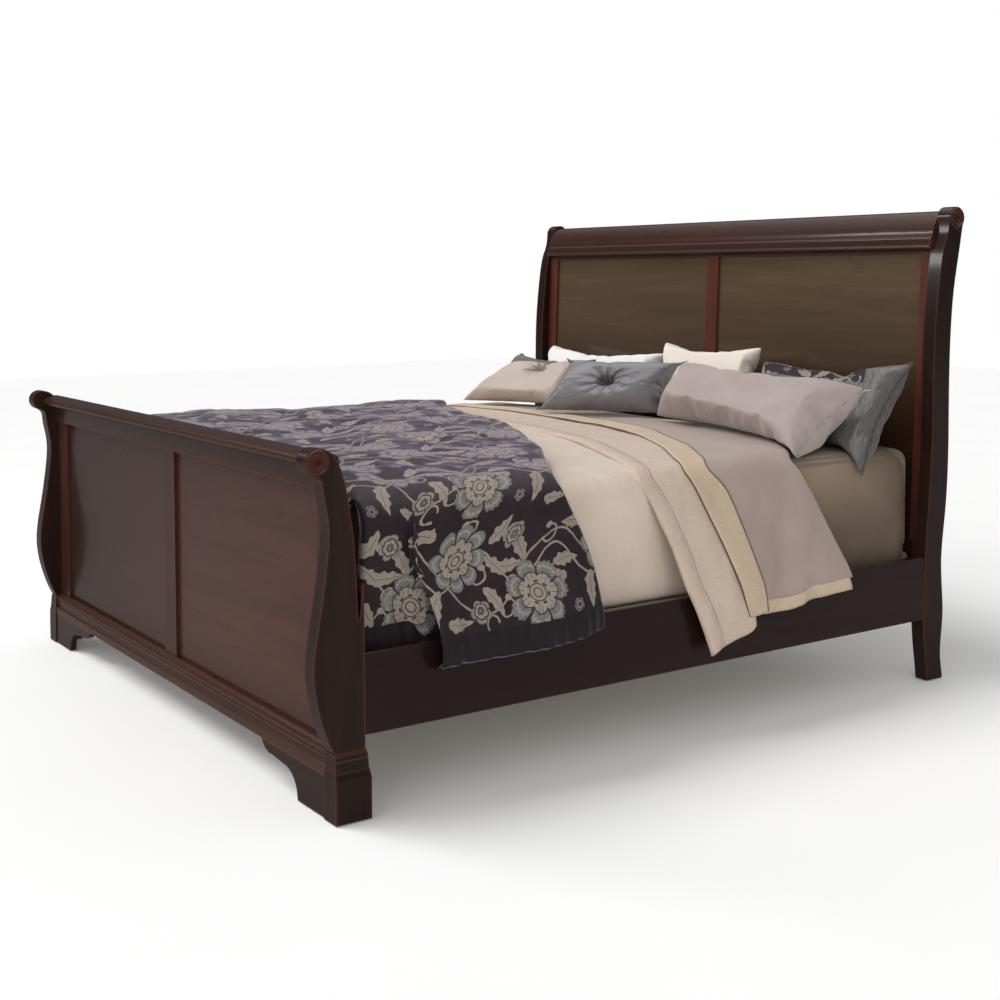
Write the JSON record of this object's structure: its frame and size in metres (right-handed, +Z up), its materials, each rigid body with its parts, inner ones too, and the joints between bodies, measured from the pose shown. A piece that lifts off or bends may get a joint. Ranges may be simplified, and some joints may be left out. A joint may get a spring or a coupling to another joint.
{
  "type": "sleigh bed",
  "caption": "King-size sleigh bed in dark cherry wood with scrolled headboard and footboard, dressed with a patterned comforter, sheets and pillows.",
  "frame": {"origin": "on the floor, under the middle of the bed's overall box", "axes": "+X to the right for a person standing at the foot and looking at the headboard, +Y from the footboard to the headboard, +Z up"},
  "size_m": [2.1504, 2.403, 1.5239],
  "materials": {
    "cherry_wood": "satin lacquer over dark red-brown cherry, fine straight grain",
    "plain_timber": "planed softwood, unfinished",
    "zinc_steel": "zinc plated",
    "glide_plastic": "hard dark plastic",
    "mattress_ticking": "quilted woven ticking",
    "fitted_cotton": "plain cotton, slight sheen",
    "cream_coverlet": "lightly padded cotton sateen",
    "beige_linen": "coarse plain-weave linen",
    "taupe_cotton": "fine cotton with a soft sheen",
    "brocade": "dark plum satin woven with pale scrolling leaves",
    "grey_satin": "satin, cool grey",
    "ivory_cotton": "smooth cotton"
  },
  "bodies": {
    "root": {"back_pillow": "ivory_cotton", "box_spring_left": "mattress_ticking", "box_spring_right": "mattress_ticking", "bracket_foot_left": "cherry_wood", "bracket_foot_right": "cherry_wood", "cleat_screws": "zinc_steel", "comforter": "brocade", "corner_block_left": "cherry_wood", "corner_block_right": "cherry_wood", "corner_glue_blocks": "plain_timber", "coverlet": "cream_coverlet", "cream_cushion": "ivory_cotton", "cushion_button": "grey_satin", "fitted_sheet": "fitted_cotton", "flat_sheet": "taupe_cotton", "floor_glides": "glide_plastic", "footboard_base_moulding": "cherry_wood", "footboard_bottom_rail": "cherry_wood", "footboard_center_stile": "cherry_wood", "footboard_panel_left": "cherry_wood", "footboard_panel_right": "cherry_wood", "footboard_post_left": "cherry_wood", "footboard_post_right": "cherry_wood", "footboard_rosettes": "cherry_wood", "footboard_stile_left": "cherry_wood", "footboard_stile_right": "cherry_wood", "footboard_top_rail": "cherry_wood", "headboard_bottom_rail": "cherry_wood", "headboard_center_stile": "cherry_wood", "headboard_crown": "cherry_wood", "headboard_crown_moulding": "cherry_wood", "headboard_panel_left": "cherry_wood", "headboard_panel_right": "cherry_wood", "headboard_post_left": "cherry_wood", "headboard_post_right": "cherry_wood", "headboard_rosettes": "cherry_wood", "headboard_stile_left": "cherry_wood", "headboard_stile_right": "cherry_wood", "headboard_top_rail": "cherry_wood", "hook_plates": "zinc_steel", "king_pillow": "taupe_cotton", "leg_levellers": "zinc_steel", "linen_blanket": "beige_linen", "linen_pillow": "beige_linen", "mattress": "mattress_ticking", "patterned_sham": "grey_satin", "plate_screws": "zinc_steel", "satin_sham": "grey_satin", "side_rail_left": "cherry_wood", "side_rail_right": "cherry_wood", "slat_1": "plain_timber", "slat_2": "plain_timber", "slat_3": "plain_timber", "slat_4": "plain_timber", "slat_5": "plain_timber", "slat_cleat_left": "plain_timber", "slat_cleat_right": "plain_timber", "slat_legs": "plain_timber", "slot_plates": "zinc_steel", "tufted_cushion": "grey_satin"}
  },
  "joints": []
}
